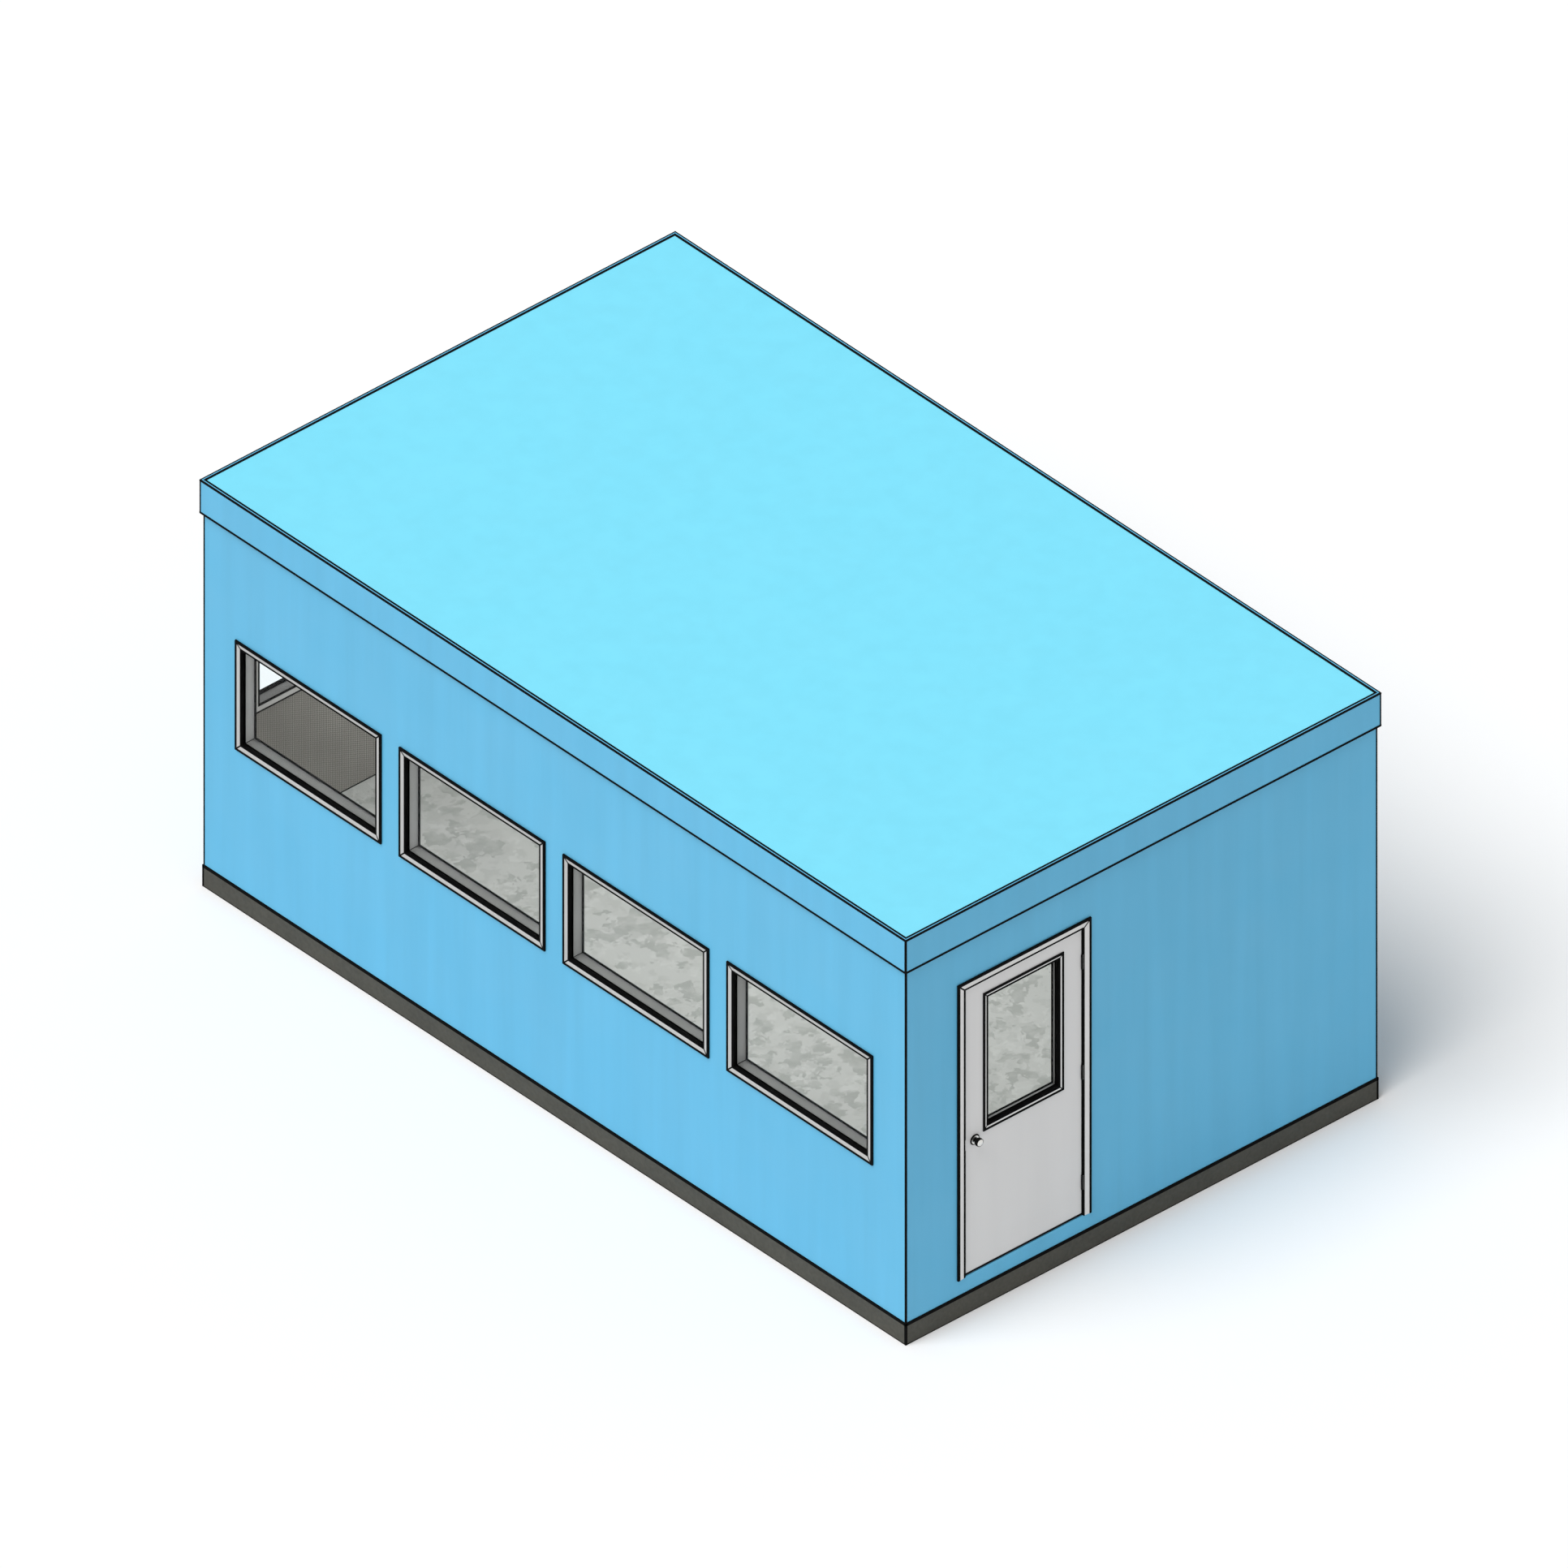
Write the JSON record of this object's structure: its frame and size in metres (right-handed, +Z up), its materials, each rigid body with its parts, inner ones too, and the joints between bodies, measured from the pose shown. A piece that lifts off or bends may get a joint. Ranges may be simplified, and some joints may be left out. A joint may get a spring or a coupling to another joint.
{
  "type": "modular office building",
  "caption": "One-room flat-roofed modular cabin on a steel base, hollow, with glazed windows in mitred trim and a part-glazed hinged door.",
  "frame": {"origin": "on the ground under the middle of the footprint, on the underside of the middle floor joist", "axes": "+X along the length towards the door end, the window front faces -Y, +Z up"},
  "size_m": [6.1662, 3.6896, 2.8956],
  "materials": {
    "base_steel": "matt dark grey paint on steel channels",
    "floor_core": "plain plywood",
    "floor_vinyl": "mottled light grey vinyl tile",
    "wall_paint": "satin sky blue paint on steel skins",
    "roof_paint": "satin pale sky blue paint",
    "lining_vinyl": "woven-look grey vinyl",
    "ceiling_board": "matt white board",
    "roof_core": "insulation core",
    "trim_paint": "satin light grey paint",
    "casing_paint": "satin off-white paint",
    "gasket_rubber": "matt black",
    "window_glass": "clear",
    "threshold_metal": "mill finish",
    "door_paint": "satin off-white paint",
    "hinge_steel": "satin black paint on steel",
    "knob_metal": "satin"
  },
  "bodies": {
    "building": {"base_rail_front": "base_steel", "base_rail_back": "base_steel", "base_rail_left": "base_steel", "base_rail_right": "base_steel", "floor_joists": "base_steel", "floor_deck": "floor_core", "floor_covering": "floor_vinyl", "front_wall": "wall_paint", "back_wall": "wall_paint", "left_wall": "wall_paint", "right_wall_front_panel": "wall_paint", "right_wall_back_panel": "wall_paint", "right_wall_header": "wall_paint", "right_wall_sill": "wall_paint", "fascia_front": "wall_paint", "fascia_back": "wall_paint", "fascia_left": "wall_paint", "fascia_right": "wall_paint", "roof_sheet": "roof_paint", "front_lining": "lining_vinyl", "back_lining": "lining_vinyl", "left_lining": "lining_vinyl", "right_lining": "lining_vinyl", "ceiling_panel": "ceiling_board", "roof_panel": "roof_core", "front_window_frames": "trim_paint", "back_window_frames": "trim_paint", "left_window_frames": "trim_paint", "window_inner_trims": "trim_paint", "door_latch_jamb": "casing_paint", "door_hinge_jamb": "casing_paint", "door_head": "casing_paint", "window_gaskets": "gasket_rubber", "front_window_glass": "window_glass", "back_window_glass": "window_glass", "left_window_glass": "window_glass", "door_threshold": "threshold_metal", "door_frame_hinges": "hinge_steel"},
    "door": {"door_leaf": "door_paint", "door_leaf_hinges": "hinge_steel", "door_lite_frame": "casing_paint", "door_lite_gasket": "gasket_rubber", "door_lite_glass": "window_glass", "door_knob_roses": "knob_metal"},
    "knob": {"door_knob": "knob_metal"}
  },
  "joints": [
    {"name": "door_swing", "type": "hinge", "parent": "building", "child": "door", "pos_m": [3.0495, -0.4624, 1.289], "axis": [0, 0, 1], "range_deg": [0, 105]},
    {"name": "knob_turn", "type": "hinge", "parent": "door", "child": "knob", "pos_m": [3.043, -1.2899, 1.204], "axis": [1, 0, 0], "range_deg": [-55, 55], "stiffness_Nm_per_rad": 0.3}
  ]
}
